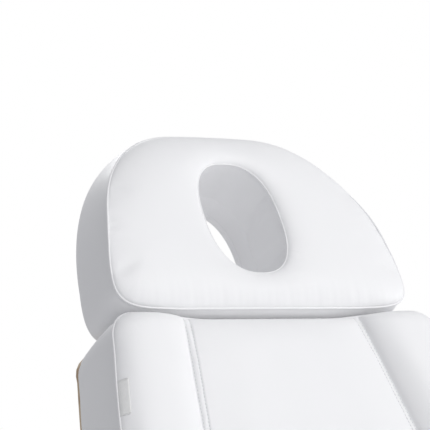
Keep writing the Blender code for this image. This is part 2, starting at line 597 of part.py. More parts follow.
def build_pins():
    for side, label in ((1, "left"), (-1, "right")):
        pin = headed_pin(side * (SEAT_PLATE_X - 0.003), side * 0.3295, HINGE_PIN, 0.010, 0.003 - GAP,
                         BACK_AXIS)
        place(pin, "back_hinge_pin_" + label, STEEL, seat)
        cap_start = BACK_PLATE_X + HINGE_PLATE + GAP
        profile = [(0, CAP_HEIGHT), (CAP_RADIUS - 0.005, CAP_HEIGHT),
                   (CAP_RADIUS - 0.0015, CAP_HEIGHT - 0.0015), (CAP_RADIUS, CAP_HEIGHT - 0.005),
                   (CAP_RADIUS, 0), (0, 0)]
        cap = turned(profile, (side * cap_start, 0, 0), (side, 0, 0), 24)
        pocket = rod((side * 0.3, 0, 0), (side * 0.331, 0, 0), 0.008)
        place(fuse([cap], [pocket]), "hinge_cover_" + label, CASING, back)
        for pivot, row in zip(UPPER_PIVOTS, ("front", "rear")):
            head_x = EAR_INNER + EAR_THICK + GAP + HEAD_THICK
            pin = headed_pin(side * head_x, side * 0.157, ARM_PIN, 0.0125, HEAD_THICK, pivot)
            place(pin, f"upper_{row}_pin_{label}", STEEL, seat)
    place(flanged_shaft(0.2675, LEG_SHAFT, 0.0115, 0.0045, LEG_AXIS), "leg_hinge_shaft", STEEL, seat)
    for pivot, row in zip(LOWER_PIVOTS, ("front", "rear")):
        half = EAR_INNER + EAR_THICK + GAP + HEAD_THICK
        place(flanged_shaft(half, BASE_SHAFT, 0.014, HEAD_THICK, pivot), f"lower_{row}_shaft", STEEL, root)


# ---------------------------------------------------------------- headrest mechanism
def knob(start, direction, stud_radius, stud, radius=0.021, height=0.020, lobes=5):
    """Clamp knob with finger lobes; its stud points along direction."""
    profile = [(0, stud), (stud_radius - 0.0005, stud), (stud_radius, stud - 0.0005), (stud_radius, 0),
               (0.010, 0), (0.011, -0.003), (radius - 0.002, -0.004), (radius, -0.007),
               (radius, 0.003 - height), (radius - 0.003, -height), (0, -height)]
    body = turned(profile, (0, 0, 0), (0, 0, 1), 20)
    notches = []
    for i in range(lobes):
        angle = 2 * math.pi * i / lobes
        x, y = (radius + 0.004) * math.cos(angle), (radius + 0.004) * math.sin(angle)
        notches.append(rod((x, y, -height - 0.01), (x, y, -0.001), 0.0075, 8))
    body = fuse([body], notches)
    turn = Vector((0, 0, 1)).rotation_difference(Vector(direction)).to_matrix().to_4x4()
    body.data.transform(Matrix.Translation(start) @ turn)
    return body


def build_head_mechanism():
    z = BACK_BOARD_Z
    axis = (HEAD_AXIS[0], z + HEAD_AXIS[1])
    pieces = [rod((-0.110, *axis), (0.110, *axis), 0.011, 24)]
    for side in (1, -1):
        pieces.append(rod((side * BAR_X, 0.375, z + BAR_Z), (side * BAR_X, axis[0] + 0.002, z + BAR_Z),
                          BAR_RADIUS, 24))
    carrier = fuse(pieces, [rod((-0.2, *axis), (0.2, *axis), HEAD_PIN + PIN_PLAY)])
    place(carrier, "head_carrier", STEEL, back)

    strap_z = (z - STRAP, z - GAP)
    cross_z = (z - STRAP + GAP, z - 2 * GAP)
    bracket = [bar(span(side, 0.096, 0.121), (0.672, 0.895), strap_z, 0.0012) for side in (1, -1)]
    bracket.append(bar((-0.120, 0.120), (0.6725, 0.6795), cross_z, 0))
    bracket.append(bar((-0.120, 0.120), (0.882, 0.894), cross_z, 0))
    for side in (1, -1):
        cheek = [*arc(axis, 0.014, 300, 120, 10), (0.672, z - 0.002), (0.735, z - 0.002),
                 (0.735, z - 0.008)]
        bracket.append(side_plate(cheek, span(side, 0.1135, 0.1185), [circle(axis, HEAD_PIN + PIN_PLAY)]))
    place(fuse(bracket), "head_bracket", PAINTED, back)

    place(flanged_shaft(0.1225, HEAD_PIN, 0.009, 0.0035, axis), "head_hinge_pin", STEEL, back)
    place(knob((0.1229, *axis), (-1, 0, 0), 0.004, 0.0001, 0.020, 0.022), "head_tilt_knob", DARK, back)
    start = (BAR_X, LOCK_KNOB_Y, z + BAR_Z - SLEEVE_HALF - 0.001)
    place(knob(start, (0, 0, 1), 0.004, 0.005), "head_lock_knob", DARK, back)


# ---------------------------------------------------------------- actuators
def build_actuator(name, parent, tail, crank, x, motor_side, pin_parent):
    """Gear motor with its guide tube and a rod that carries the crank pin."""
    run = (crank[0] - tail[0], crank[1] - tail[1])
    length = math.hypot(*run)
    shortest = SHORTEST[name]
    marker = empty(name + "_actuator_axis", parent, (x, *tail), math.atan2(run[1], run[0]))
    motor_x = motor_side * MOTOR_OFFSET
    pieces = [bar((-0.024, 0.024), GEARBOX, (-0.023, 0.023), 0.004),
              bar(tuple(sorted((0.0, motor_x))), (0.022, 0.056), (-0.020, 0.020), 0.003),
              turned([(0, 0.130), (0.022, 0.130), (0.026, 0.125), (0.026, 0.004), (0.022, 0), (0, 0)],
                     (motor_x, GEARBOX[0] - 0.0015, 0), (0, 1, 0), 20),
              rod((-0.0098, 0, 0), (0.0098, 0, 0), 0.0125),
              bar((-0.0095, 0.0095), (0.0, 0.026), (-0.010, 0.010), 0)]
    place(fuse(pieces, [rod((-0.05, 0, 0), (0.05, 0, 0), ACTUATOR_PIN + PIN_PLAY)]),
          name + "_gear_motor", DARK, marker)
    tube_start, tube_end = GEARBOX[1] + GAP, shortest - TUBE_SHORT
    tube = rod((0, tube_start, 0), (0, tube_end, 0), TUBE_RADIUS, 24)
    ring = rod((0, tube_end - TUBE_RING, 0), (0, tube_end, 0), TUBE_RING_RADIUS, 24)
    bore = rod((0, tube_start + 0.004, 0), (0, tube_end + 0.1, 0), PUSH_ROD + PIN_PLAY, 24)
    place(fuse([tube, ring], [bore]), name + "_guide_tube", CASING, marker)
    rod_start = length - (shortest - ROD_SHORT)
    pieces = [rod((0, rod_start, 0), (0, length, 0), PUSH_ROD, 24),
              rod((-0.0130, length, 0), (0.0130, length, 0), 0.0120),
              rod((-0.0240, length, 0), (0.0240, length, 0), ACTUATOR_PIN)]
    place(fuse(pieces), name + "_push_rod", STEEL, marker)
    tail_pin = flanged_shaft(0.0205, ACTUATOR_PIN, 0.009, 0.0035, tail, x)
    place(tail_pin, name + "_tail_pin", STEEL, pin_parent)


def build_actuators():
    crank = add(BACK_AXIS, swing(BACK_CRANK, BACK_TILT))
    build_actuator("back", seat, add(BACK_AXIS, BACK_TAIL), crank, BACK_ACTUATOR_X, -1, seat)
    crank = add(LEG_AXIS, swing(LEG_CRANK, LEG_DROP))
    build_actuator("leg", seat, add(LEG_AXIS, LEG_TAIL), crank, LEG_ACTUATOR_X, 1, seat)
    crank = add(LOWER_PIVOTS[0], swing(LIFT_CRANK, -LIFT_ANGLE))
    build_actuator("lift", root, add(LOWER_PIVOTS[0], LIFT_TAIL), crank, LIFT_ACTUATOR_X, 1, root)


# ---------------------------------------------------------------- control box and handset
def build_electrics():
    box_z = (-0.046, -GAP)
    place(bar((-0.042, 0.042), (-0.335, -0.165), box_z, 0.004), "control_box", CASING, seat)
    body = bar((-0.016, 0.016), (-0.3553, -0.3353), (-0.037, -0.009), 0.0015)
    socket = bar((-0.012, 0.012), (-0.40, -0.3405), (-0.0312, -0.0148), 0.002)
    inlet = fuse([body], [socket])
    blades = [bar((x - 0.001, x + 0.001), (-0.3465, -0.3395), (z - 0.002, z + 0.002), 0)
              for x, z in ((-0.007, -0.021), (0.0, -0.025), (0.007, -0.021))]
    place(fuse([inlet, *blades]), "mains_inlet", DARK, seat)

    y = HANDSET_Y
    holder = [bar((RAIL_X + 0.015 + GAP, 0.3003), (y - 0.014, y + 0.014), (-0.026, -0.006), 0.002),
              bar((0.2963, 0.3003), (y - 0.020, y + 0.020), (-0.140, -0.0065), 0.0015)]
    place(fuse(holder), "handset_holder", PAINTED, seat)
    bottom = HANDSET_TOP - HANDSET_LENGTH
    shell = bar(HANDSET_X, (y - HANDSET_HALF, y + HANDSET_HALF), (bottom, HANDSET_TOP), 0.006, 3)
    centres = [HANDSET_TOP - ROCKER_TOP - ROCKER_PITCH * i for i in range(3)]
    pockets = [bar((HANDSET_X[1] - 0.006, HANDSET_X[1] + 0.01), (y - 0.0155, y + 0.0155),
                   (z - 0.0125, z + 0.0125), 0) for z in centres]
    place(fuse([shell], pockets), "handset", CASING, seat)
    for z, label in zip(centres, ("back", "leg", "lift")):
        rocker = bar((-0.0030, 0.0032), (-0.0150, 0.0150), (-0.0118, 0.0118), 0.0012)
        rocker.data.transform(Matrix.Translation((HANDSET_X[1] - 0.0016, y, z)))
        place(rocker, f"{label}_rocker", DARK, seat)


def centre_on_floor():
    """Slide the whole bed along Y so that its outer box is centred on the origin."""
    bpy.context.view_layer.update()
    lengths = [(piece.matrix_world @ vertex.co).y
               for piece in BED.objects if piece.type == "MESH" for vertex in piece.data.vertices]
    root.location.y -= (min(lengths) + max(lengths)) / 2
    bpy.context.view_layer.update()


build_panels()
build_seat_frame()
build_back_frame()
build_leg_frame()
build_arms()
build_base()
build_pins()
build_head_mechanism()
build_actuators()
build_electrics()
centre_on_floor()
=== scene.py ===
import json
import math

import bmesh
import bpy
import numpy as np
from mathutils import Matrix, Vector


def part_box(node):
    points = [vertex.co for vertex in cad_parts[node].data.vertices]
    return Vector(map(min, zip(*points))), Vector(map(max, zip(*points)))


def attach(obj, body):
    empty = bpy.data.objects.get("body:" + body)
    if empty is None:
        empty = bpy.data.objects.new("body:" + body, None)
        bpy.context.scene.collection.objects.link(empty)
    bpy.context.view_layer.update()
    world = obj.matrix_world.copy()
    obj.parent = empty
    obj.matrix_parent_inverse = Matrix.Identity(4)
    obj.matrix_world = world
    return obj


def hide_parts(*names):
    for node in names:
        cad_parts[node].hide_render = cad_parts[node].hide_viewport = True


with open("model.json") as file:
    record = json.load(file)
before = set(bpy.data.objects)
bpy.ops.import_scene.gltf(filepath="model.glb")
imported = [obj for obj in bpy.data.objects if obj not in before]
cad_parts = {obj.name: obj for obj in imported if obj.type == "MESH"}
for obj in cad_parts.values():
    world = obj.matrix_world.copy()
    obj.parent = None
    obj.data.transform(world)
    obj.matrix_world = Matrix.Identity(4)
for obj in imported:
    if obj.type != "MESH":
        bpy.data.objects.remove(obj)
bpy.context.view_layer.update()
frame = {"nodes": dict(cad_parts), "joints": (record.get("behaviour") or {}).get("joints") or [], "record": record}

# ---------------------------------------------------------------- design values, metres
BOARD_TOP = 0.0157              # where padding starts above a board's underside
WRAP_DEPTH = 0.0065             # the cover is folded over the board's edge, down to here
WALL_BULGE = 0.0028
PIPING = 0.0016
SEAM_TUCK = 0.0022              # how far a wall is pulled in below its piping
CLOTH_PRESSURE, CLOTH_CAP, CLOTH_FRAMES = 2.0, 0.0045, 14
STITCH_PITCH, STITCH_LENGTH, STITCH_RADIUS = 0.0056, 0.0038, 0.0006
STITCH_ROWS = (0.0026, 0.0104)  # distances of the stitch rows from a bolster seam, towards the centre
END_RISE, CENTRE_RISE = 0.026, 0.075    # how far from its seam a panel reaches its full height
SEAM_X, MOST_SEAM = 0.214, 0.92         # bolster seam, and its limit as a share of the half width
PANEL_ROUND, FOOT_ROUND = 0.012, 0.070  # corners seen from above
# Heights above the board: side seam, end seam, bolster seam, bolster crown, centre panel.
BACK_HEIGHTS = (0.114, 0.093, 0.105, 0.1295, 0.1115)
PAD_HEIGHTS = (0.108, 0.100, 0.104, 0.127, 0.112)

BACK_SIDE = [(0.008, 0.310), (0.20, 0.318), (0.33, 0.325), (0.42, 0.318), (0.50, 0.302),
             (0.578, 0.2835), (0.622, 0.2820)]
BACK_CORNER = 0.042
BACK_SEAM_TOP, BACK_SEAM_SLOPE = 0.1525, 0.154  # bolster seam: x at the top end, and how it spreads below
HINGE_EASE = 0.004              # back and seat covers end this much before their CAD ends at the hinge
TOP_EASE = 0.002                # and the back cover at its top end, which clears the tilted headrest

HEAD_LENGTH = 0.297
# Right half of the headrest's front seam: (x, distance above its lower edge), from the bottom to the top.
HEAD_EDGE = [(0.155, 0.0), (0.197, 0.0015), (0.220, 0.0045), (0.2365, 0.0105), (0.2465, 0.0205),
             (0.2508, 0.035), (0.2502, 0.057), (0.2472, 0.079), (0.2425, 0.101), (0.2365, 0.127),
             (0.2275, 0.157), (0.2155, 0.1865), (0.200, 0.2155), (0.183, 0.2385), (0.165, 0.2575),
             (0.147, 0.271), (0.129, 0.2815), (0.109, 0.289), (0.088, 0.2938), (0.064, 0.2958),
             (0.032, 0.2968), (0.0, 0.297)]
HEAD_WIDEST, REAR_HALF, REAR_POWER, REAR_DROP = 0.2508, 0.2455, 2.15, 0.003
# Height of the headrest's front seam above the plane of its lower edge, along its length.
HEAD_BOW = [(0.0, 0.0), (0.11, 0.003), (0.448, 0.012), (0.70, 0.004), (1.0, -0.006)]
HOLE_HALF_X, HOLE_HALF_Y, HOLE_POWER, HOLE_FROM_EDGE = 0.0668, 0.0940, 2.47, 0.1485
HEAD_SEAM, HEAD_FACE, HOLE_RIM = 0.105, 0.017, 0.008
HEAD_RISE, HOLE_RISE = 0.075, 0.034     # how far from the outer seam and from the hole the face is level
TAG_PLACE = (0.487, 0.053, 0.0120, 0.0004)      # middle along the back, length, reach, thickness

LENS_RATIO = 200.9 / 36.0       # focal length over sensor width
CAMERA_TURN, CAMERA_PITCH = 0.588, -0.033
CAMERA_DISTANCE, CAMERA_RIGHT, CAMERA_UP = 3.409, -0.079, 0.133
AMBIENT, KEY_POWER, SIDE_POWER, FILL_POWER, BACK_POWER = 0.45, 180.0, 88.0, 50.0, 120.0

joints = {joint["name"]: joint for joint in frame["joints"]}


def panel_matrix(joint_name):
    """Panel space: x across, y along the panel away from its hinge or towards the head, z off the board."""
    joint = joints[joint_name]
    stored = math.radians(-joint["range_deg"][0])
    return Matrix.Translation(joint["pos_m"]) @ Matrix.Rotation(stored, 4, "X")


def local_box(node, matrix):
    """Lowest and highest corner of a CAD node in panel space."""
    inverse = matrix.inverted()
    points = np.array([inverse @ v.co for v in frame["nodes"][node].data.vertices])
    return points.min(0), points.max(0)


BACK = panel_matrix("back_tilt")
LEG = panel_matrix("leg_tilt")
BACK = BACK @ Matrix.Translation((0, 0, local_box("back_board", BACK)[0][2]))
LEG = LEG @ Matrix.Translation((0, 0, local_box("leg_board", LEG)[0][2]))
SEAT = Matrix.Translation((0, 0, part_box("seat_board")[0].z))

# ---------------------------------------------------------------- node helpers


class Nodes:
    """Small helper that builds a material's node tree."""

    def __init__(self, name, colour, roughness, metallic=0.0):
        self.material = bpy.data.materials.new(name)
        self.material.use_nodes = True
        self.tree = self.material.node_tree
        self.shader = self.tree.nodes["Principled BSDF"]
        self.shader.inputs["Base Color"].default_value = (*colour, 1)
        self.shader.inputs["Roughness"].default_value = roughness
        self.shader.inputs["Metallic"].default_value = metallic
        self.coords = self.tree.nodes.new("ShaderNodeTexCoord").outputs["Object"]

    def link(self, source, target):
        self.tree.links.new(source, target)

    def stretch(self, scale):
        mapping = self.tree.nodes.new("ShaderNodeMapping")
        mapping.inputs["Scale"].default_value = scale
        self.link(self.coords, mapping.inputs["Vector"])
        return mapping.outputs["Vector"]

    def noise(self, scale, detail=3.0, roughness=0.5, vector=None):
        node = self.tree.nodes.new("ShaderNodeTexNoise")
        node.inputs["Scale"].default_value = scale
        node.inputs["Detail"].default_value = detail
        node.inputs["Roughness"].default_value = roughness
        self.link(vector or self.coords, node.inputs["Vector"])
        return node.outputs["Fac"]

    def cells(self, scale, feature="F1", vector=None):
        node = self.tree.nodes.new("ShaderNodeTexVoronoi")
        node.feature = feature
        node.inputs["Scale"].default_value = scale
        self.link(vector or self.coords, node.inputs["Vector"])
        return node.outputs["Distance"]

    def waves(self, scale, distortion=0.0, direction="X", vector=None):
        node = self.tree.nodes.new("ShaderNodeTexWave")
        node.bands_direction = direction
        node.inputs["Scale"].default_value = scale
        node.inputs["Distortion"].default_value = distortion
        self.link(vector or self.coords, node.inputs["Vector"])
        return node.outputs["Fac"]

    def ramp(self, value, stops):
        node = self.tree.nodes.new("ShaderNodeValToRGB")
        node.color_ramp.elements[0].position = stops[0][0]
        node.color_ramp.elements[0].color = (*stops[0][1], 1)
        node.color_ramp.elements[1].position = stops[-1][0]
        node.color_ramp.elements[1].color = (*stops[-1][1], 1)
        for position, colour in stops[1:-1]:
            node.color_ramp.elements.new(position).color = (*colour, 1)
        self.link(value, node.inputs["Fac"])
        return node.outputs["Color"]

    def span(self, value, low, high):
        node = self.tree.nodes.new("ShaderNodeMapRange")
        node.inputs["To Min"].default_value = low
        node.inputs["To Max"].default_value = high
        self.link(value, node.inputs["Value"])
        return node.outputs["Result"]

    def mix(self, factor, first, second, mode="MIX"):
        node = self.tree.nodes.new("ShaderNodeMix")
        node.data_type = "RGBA"
        node.blend_type = mode
        for value, socket in ((factor, node.inputs[0]), (first, node.inputs[6]), (second, node.inputs[7])):
            if isinstance(value, (int, float)):
                socket.default_value = value
            elif isinstance(value, tuple):
                socket.default_value = (*value, 1)
            else:
                self.link(value, socket)
        return node.outputs[2]

    def pointiness(self):
        return self.tree.nodes.new("ShaderNodeNewGeometry").outputs["Pointiness"]

    def bump(self, *layers):
        """Stack bump layers, each (height, strength, distance in metres)."""
        normal = None
        for height, strength, distance in layers:
            node = self.tree.nodes.new("ShaderNodeBump")
            node.inputs["Strength"].default_value = strength
            node.inputs["Distance"].default_value = distance
            self.link(height, node.inputs["Height"])
            if normal is not None:
                self.link(normal, node.inputs["Normal"])
            normal = node.outputs["Normal"]
        self.link(normal, self.shader.inputs["Normal"])

    def colour(self, output):
        self.link(output, self.shader.inputs["Base Color"])

    def roughness(self, output):
        self.link(output, self.shader.inputs["Roughness"])


def vinyl_material():
    """Soft white upholstery vinyl: fine pebbled grain, faint tone changes, and painted shade that greys its
    creases.
    """
    n = Nodes("white_vinyl_look", (0.90, 0.90, 0.91), 0.44)
    tone = n.ramp(n.noise(3.0, 4.0), [(0.3, (0.892, 0.892, 0.902)), (0.7, (0.918, 0.918, 0.926))])
    # Painted shade: concave creases (low pointiness) are multiplied towards grey.
    crease_painted_shade = n.ramp(n.pointiness(), [(0.40, (0.80, 0.805, 0.825)), (0.50, (1, 1, 1))])
    n.colour(n.mix(1.0, tone, crease_painted_shade, "MULTIPLY"))
    n.roughness(n.span(n.noise(60.0, 3.0), 0.38, 0.50))
    n.shader.inputs["Specular IOR Level"].default_value = 0.42
    n.bump((n.noise(14.0, 2.0), 0.10, 0.0012), (n.noise(260.0, 3.0), 0.10, 0.0004),
           (n.cells(1150.0), 0.16, 0.00022))
    return n.material


def thread_material():
    # Thread greyed well below the vinyl's white: painted shade of the stitch holes along the seams.
    n = Nodes("grey_thread_painted_shade", (0.74, 0.74, 0.76), 0.7)
    n.colour(n.ramp(n.noise(900.0), [(0.2, (0.66, 0.66, 0.68)), (0.8, (0.78, 0.78, 0.80))]))
    n.bump((n.waves(1500.0, 0.5, "DIAGONAL"), 0.5, 0.0002))
    return n.material


def tag_material():
    """Blank satin ribbon with a woven texture."""
    n = Nodes("blank_tag", (0.93, 0.93, 0.92), 0.5)
    n.colour(n.ramp(n.noise(120.0), [(0.3, (0.92, 0.92, 0.91)), (0.7, (0.95, 0.95, 0.94))]))
    n.shader.inputs["Sheen Weight"].default_value = 0.3
    n.bump((n.waves(1400.0, 0.0, "X"), 0.35, 0.0002), (n.waves(1400.0, 0.0, "Z"), 0.35, 0.0002))
    return n.material


def plywood_material():
    """Birch plywood: long grain on the faces."""
    n = Nodes("plywood_look", (0.58, 0.44, 0.30), 0.62)
    grain = n.waves(9.0, 6.0, "X", n.stretch((3.0, 0.6, 0.6)))
    face = n.ramp(grain, [(0.1, (0.50, 0.36, 0.235)), (0.55, (0.62, 0.48, 0.33)),
                          (0.9, (0.66, 0.53, 0.38))])
    fleck = n.ramp(n.noise(38.0, 6.0), [(0.35, (0.80, 0.76, 0.72)), (0.62, (1, 1, 1))])
    n.colour(n.mix(1.0, face, fleck, "MULTIPLY"))
    n.roughness(n.span(n.noise(45.0), 0.52, 0.74))
    n.bump((grain, 0.12, 0.0006), (n.noise(420.0, 4.0), 0.22, 0.0004))
    return n.material


def paint_material():
    """Light grey powder coat with orange peel and slightly worn, brighter edges."""
    n = Nodes("powder_coat", (0.60, 0.61, 0.63), 0.40, 0.1)
    base = n.ramp(n.noise(5.0, 4.0), [(0.3, (0.55, 0.56, 0.58)), (0.7, (0.63, 0.64, 0.66))])
    worn = n.ramp(n.pointiness(), [(0.52, (0, 0, 0)), (0.62, (1, 1, 1))])
    speckle = n.ramp(n.noise(140.0, 5.0), [(0.52, (0, 0, 0)), (0.66, (1, 1, 1))])
    n.colour(n.mix(n.mix(1.0, worn, speckle, "MULTIPLY"), base, (0.72, 0.73, 0.74)))
    n.roughness(n.span(n.noise(70.0), 0.32, 0.47))
    n.bump((n.noise(330.0, 3.0), 0.20, 0.0005), (n.noise(25.0), 0.05, 0.0015))
    return n.material


def steel_material():
    n = Nodes("turned_steel", (0.66, 0.66, 0.68), 0.26, 1.0)
    streak = n.noise(30.0, 6.0, 0.7, n.stretch((22.0, 1.5, 1.5)))
    n.colour(n.ramp(streak, [(0.3, (0.56, 0.56, 0.58)), (0.7, (0.72, 0.72, 0.74))]))
    n.roughness(n.span(streak, 0.18, 0.38))
    n.bump((streak, 0.10, 0.0003), (n.noise(600.0), 0.06, 0.0001))
    return n.material


def plastic_material(name, dark, light, grain, low, high):
    """Moulded plastic with spark-eroded grain."""
    n = Nodes(name, light, (low + high) / 2)
    n.colour(n.ramp(n.noise(8.0, 4.0), [(0.3, dark), (0.7, light)]))
    n.roughness(n.span(n.noise(90.0, 4.0), low, high))
    n.bump((n.cells(grain), 0.20, 0.0002), (n.noise(grain / 4, 3.0), 0.12, 0.0003))
    return n.material


VINYL = vinyl_material()
SHADED_THREAD = thread_material()
TAG = tag_material()
STEEL = steel_material()
LOOKS = {
    "raw_plywood": plywood_material(),
    "frame_paint": paint_material(),
    "bright_steel": STEEL,
    "grey_casing": plastic_material("casing_grey", (0.53, 0.54, 0.56), (0.61, 0.62, 0.64), 900.0,
                                    0.42, 0.58),
    "dark_plastic": plastic_material("moulded_black", (0.035, 0.035, 0.04), (0.06, 0.06, 0.065), 800.0,
                                     0.40, 0.6),
    "black_rubber": plastic_material("rubber_black", (0.02, 0.02, 0.02), (0.045, 0.045, 0.045), 500.0,
                                     0.70, 0.9),
}


def dress_cad_nodes():
    """Give every CAD node that stays the material of its record slot."""
    for entry in frame["record"]["subparts"]:
        look = LOOKS.get(entry["material_slot"])
        if look is None:
            continue
        node = frame["nodes"][entry["node"]]
        node.data.materials.clear()
        node.data.materials.append(look)
        node.data.shade_smooth()
        node.data.set_sharp_from_angle(angle=math.radians(32))


# ---------------------------------------------------------------- mesh helpers
def make_object(name, vertices, faces, look, body):
    """Mesh object in the row frame that rides on a body."""
    mesh = bpy.data.meshes.new(name)
    mesh.from_pydata([tuple(v) for v in vertices], [], faces)
    mesh.update()
    mesh.materials.append(look)
    piece = bpy.data.objects.new(name, mesh)
    bpy.context.scene.collection.objects.link(piece)
    work = bmesh.new()
    work.from_mesh(mesh)
    bmesh.ops.recalc_face_normals(work, faces=work.faces)
    work.to_mesh(mesh)
    work.free()
    mesh.shade_smooth()
    if body:
        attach(piece, body)
    return piece


def coordinates(piece):
    flat = np.empty(len(piece.data.vertices) * 3)
    piece.data.vertices.foreach_get("co", flat)
    return flat.reshape(-1, 3)


def set_coordinates(piece, points):
    piece.data.vertices.foreach_set("co", np.asarray(points, float).ravel())
    piece.data.update()


def bake_modifiers(piece):
    graph = bpy.context.evaluated_depsgraph_get()
    graph.update()
    mesh = bpy.data.meshes.new_from_object(piece.evaluated_get(graph))
    piece.modifiers.clear()
    piece.data = mesh


def subdivide(piece, levels=1):
    step = piece.modifiers.new("smooth", "SUBSURF")
    step.levels = step.render_levels = levels
    bake_modifiers(piece)
    piece.data.shade_smooth()


def smooth_through(points, per_span=8):
    """Catmull-Rom curve through a few points."""
    padded = [points[0], *points, points[-1]]
    result = []
    for i in range(1, len(padded) - 2):
        p0, p1, p2, p3 = (Vector(padded[i + k]) for k in (-1, 0, 1, 2))
        for step in range(per_span):
            t = step / per_span
            result.append(tuple(0.5 * ((2 * p1) + (p2 - p0) * t + (2 * p0 - 5 * p1 + 4 * p2 - p3) * t * t
                                       + (3 * p1 - 3 * p2 + p3 - p0) * t ** 3)))
    return np.array([*result, points[-1]])


def resample(loop, count):
    """Closed loop of equally spaced points."""
    loop = np.asarray(loop, float)
    closed = np.vstack([loop, loop[:1]])
    along = np.concatenate([[0], np.cumsum(np.linalg.norm(np.diff(closed, axis=0), axis=1))])
    at = np.linspace(0, along[-1], count, endpoint=False)
    return np.column_stack([np.interp(at, along, closed[:, k]) for k in range(loop.shape[1])])


def outward(loop):
    """Unit normals in the plane of a closed loop, pointing out."""
    step = np.roll(loop, -1, 0) - np.roll(loop, 1, 0)
    normal = np.column_stack([step[:, 1], -step[:, 0]])
    normal /= np.linalg.norm(normal, axis=1)[:, None]
    area = np.sum(loop[:, 0] * np.roll(loop[:, 1], -1) - np.roll(loop[:, 0], -1) * loop[:, 1])
    return normal if area > 0 else -normal


def tube(name, path, radius, body, sides=8):
    """Round vinyl welt along a closed path of points in the row frame."""
    path = np.asarray(path, float)
    ahead = np.roll(path, -1, 0) - np.roll(path, 1, 0)
    ahead /= np.linalg.norm(ahead, axis=1)[:, None]
    side = np.cross(ahead, [1.0, 0.137, 0.071])
    side /= np.linalg.norm(side, axis=1)[:, None]
    up = np.cross(ahead, side)
    turns = np.linspace(0, 2 * math.pi, sides, endpoint=False)
    rings = [path + radius * (math.cos(t) * side + math.sin(t) * up) for t in turns]
    vertices = np.stack(rings, 1).reshape(-1, 3)
    count = len(path)
    faces = []
    for i in range(count):
        j = (i + 1) % count
        for k in range(sides):
            m = (k + 1) % sides
            faces.append((i * sides + k, j * sides + k, j * sides + m, i * sides + m))
    return make_object(name, vertices, faces, VINYL, body)


def stitches(name, rows, body, matrix):
    """Rows of separate thread stitches; each row is an (N, 3) path in panel space with its normals up."""
    vertices, faces = [], []
    profile = [(-0.5, 0.25), (-0.36, 0.8), (0.0, 1.0), (0.36, 0.8), (0.5, 0.25)]
    sides = 6
    for row in rows:
        row = np.asarray(row, float)
        along = np.concatenate([[0], np.cumsum(np.linalg.norm(np.diff(row, axis=0), axis=1))])
        count = int(along[-1] / STITCH_PITCH)
        for i in range(count):
            mid = (i + 0.5) * along[-1] / count
            here = np.array([np.interp(mid, along, row[:, k]) for k in range(3)])
            ahead = np.array([np.interp(mid + 0.001, along, row[:, k]) for k in range(3)]) - here
            ahead /= max(np.linalg.norm(ahead), 1e-9)
            side = np.cross(ahead, [0, 0, 1.0])
            side /= max(np.linalg.norm(side), 1e-9)
            up = np.cross(side, ahead)
            start = len(vertices)
            for reach, width in profile:
                for k in range(sides):
                    t = 2 * math.pi * k / sides
                    sag = -0.0006 * (2 * abs(reach)) ** 2
                    point = (here + ahead * reach * STITCH_LENGTH + up * sag
                             + STITCH_RADIUS * width * (math.cos(t) * side + math.sin(t) * up))
                    vertices.append(matrix @ Vector(point))
            for ring in range(len(profile) - 1):
                for k in range(sides):
                    m = (k + 1) % sides
                    a, b = start + ring * sides, start + (ring + 1) * sides
                    faces.append((a + k, a + m, b + m, b + k))
            faces.append(tuple(start + k for k in range(sides)))
            faces.append(tuple(start + (len(profile) - 1) * sides + k for k in range(sides)))
    return make_object(name, vertices, faces, SHADED_THREAD, body)


# ---------------------------------------------------------------- upholstery
def settle(piece, pinned):
    """Inflate a closed cover a little with the cloth solver, held at its seams, and bake the result."""
    start = coordinates(piece).copy()
    group = piece.vertex_groups.new(name="seams")
    group.add([int(i) for i in pinned], 1.0, "REPLACE")
    cloth = piece.modifiers.new("cover", "CLOTH")
    settings = cloth.settings
    settings.quality = 6
    settings.mass = 0.35
    settings.tension_stiffness = settings.compression_stiffness = 28
    settings.shear_stiffness = 12
    settings.bending_stiffness = 2.5
    settings.tension_damping = settings.compression_damping = 12
    settings.vertex_group_mass = "seams"
    settings.use_pressure = True
    settings.uniform_pressure_force = CLOTH_PRESSURE
    settings.effector_weights.gravity = 0.0
    cloth.collision_settings.use_collision = False
    scene = bpy.context.scene
    for step in range(1, CLOTH_FRAMES + 1):
        scene.frame_set(step)
    graph = bpy.context.evaluated_depsgraph_get()
    moved = np.array([v.co for v in piece.evaluated_get(graph).data.vertices])
    piece.modifiers.clear()
    shift = moved - start
    length = np.linalg.norm(shift, axis=1)
    scale = np.minimum(1.0, CLOTH_CAP / np.maximum(length, 1e-9))
    set_coordinates(piece, start + shift * scale[:, None])
    scene.frame_set(1)
    piece.vertex_groups.clear()


def smooth_step(value, low, high):
    t = np.clip((value - low) / (high - low), 0, 1)
    return t * t * (3 - 2 * t)


def quarter(distance, reach, power=2.4):
    """Rise from 0 at a seam to 1 at its reach, steep at first, like a stuffed edge."""
    return (1 - (1 - np.clip(distance / reach, 0, 1)) ** power) ** (1 / power)


